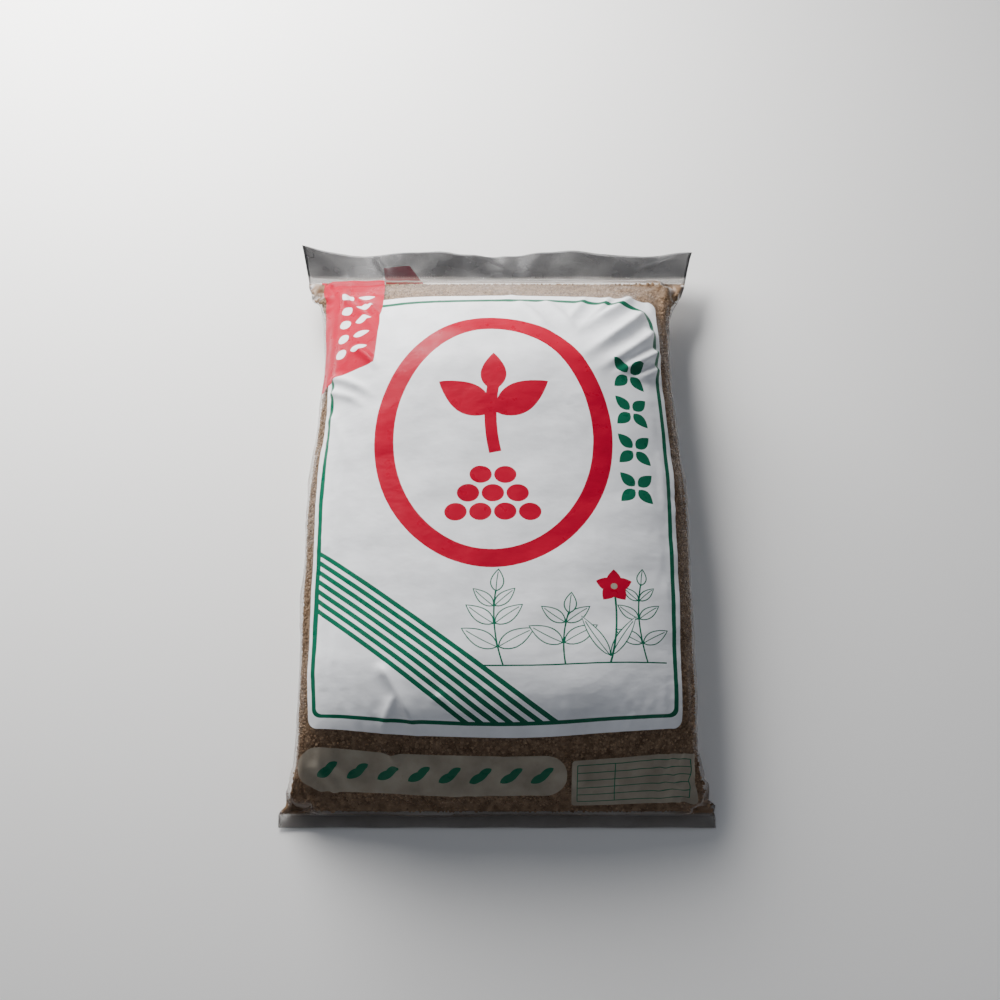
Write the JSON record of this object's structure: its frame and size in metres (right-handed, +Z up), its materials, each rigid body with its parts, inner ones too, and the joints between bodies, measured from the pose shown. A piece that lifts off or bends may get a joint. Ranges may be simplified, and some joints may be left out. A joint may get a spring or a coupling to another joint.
{
  "type": "soil sack",
  "caption": "Heat-sealed clear film sack, printed front and back, filled with granular soil and lying on its back.",
  "frame": {"origin": "on the floor, under the middle of the sack's box", "axes": "+X across the sack, +Y along it towards the mouth's empty margin, +Z up from the floor"},
  "size_m": [0.382, 0.578, 0.1032],
  "materials": {
    "film": "gloss",
    "soil": "matte"
  },
  "bodies": {
    "root": {"film_sack": "film", "soil_fill": "soil"}
  },
  "joints": []
}
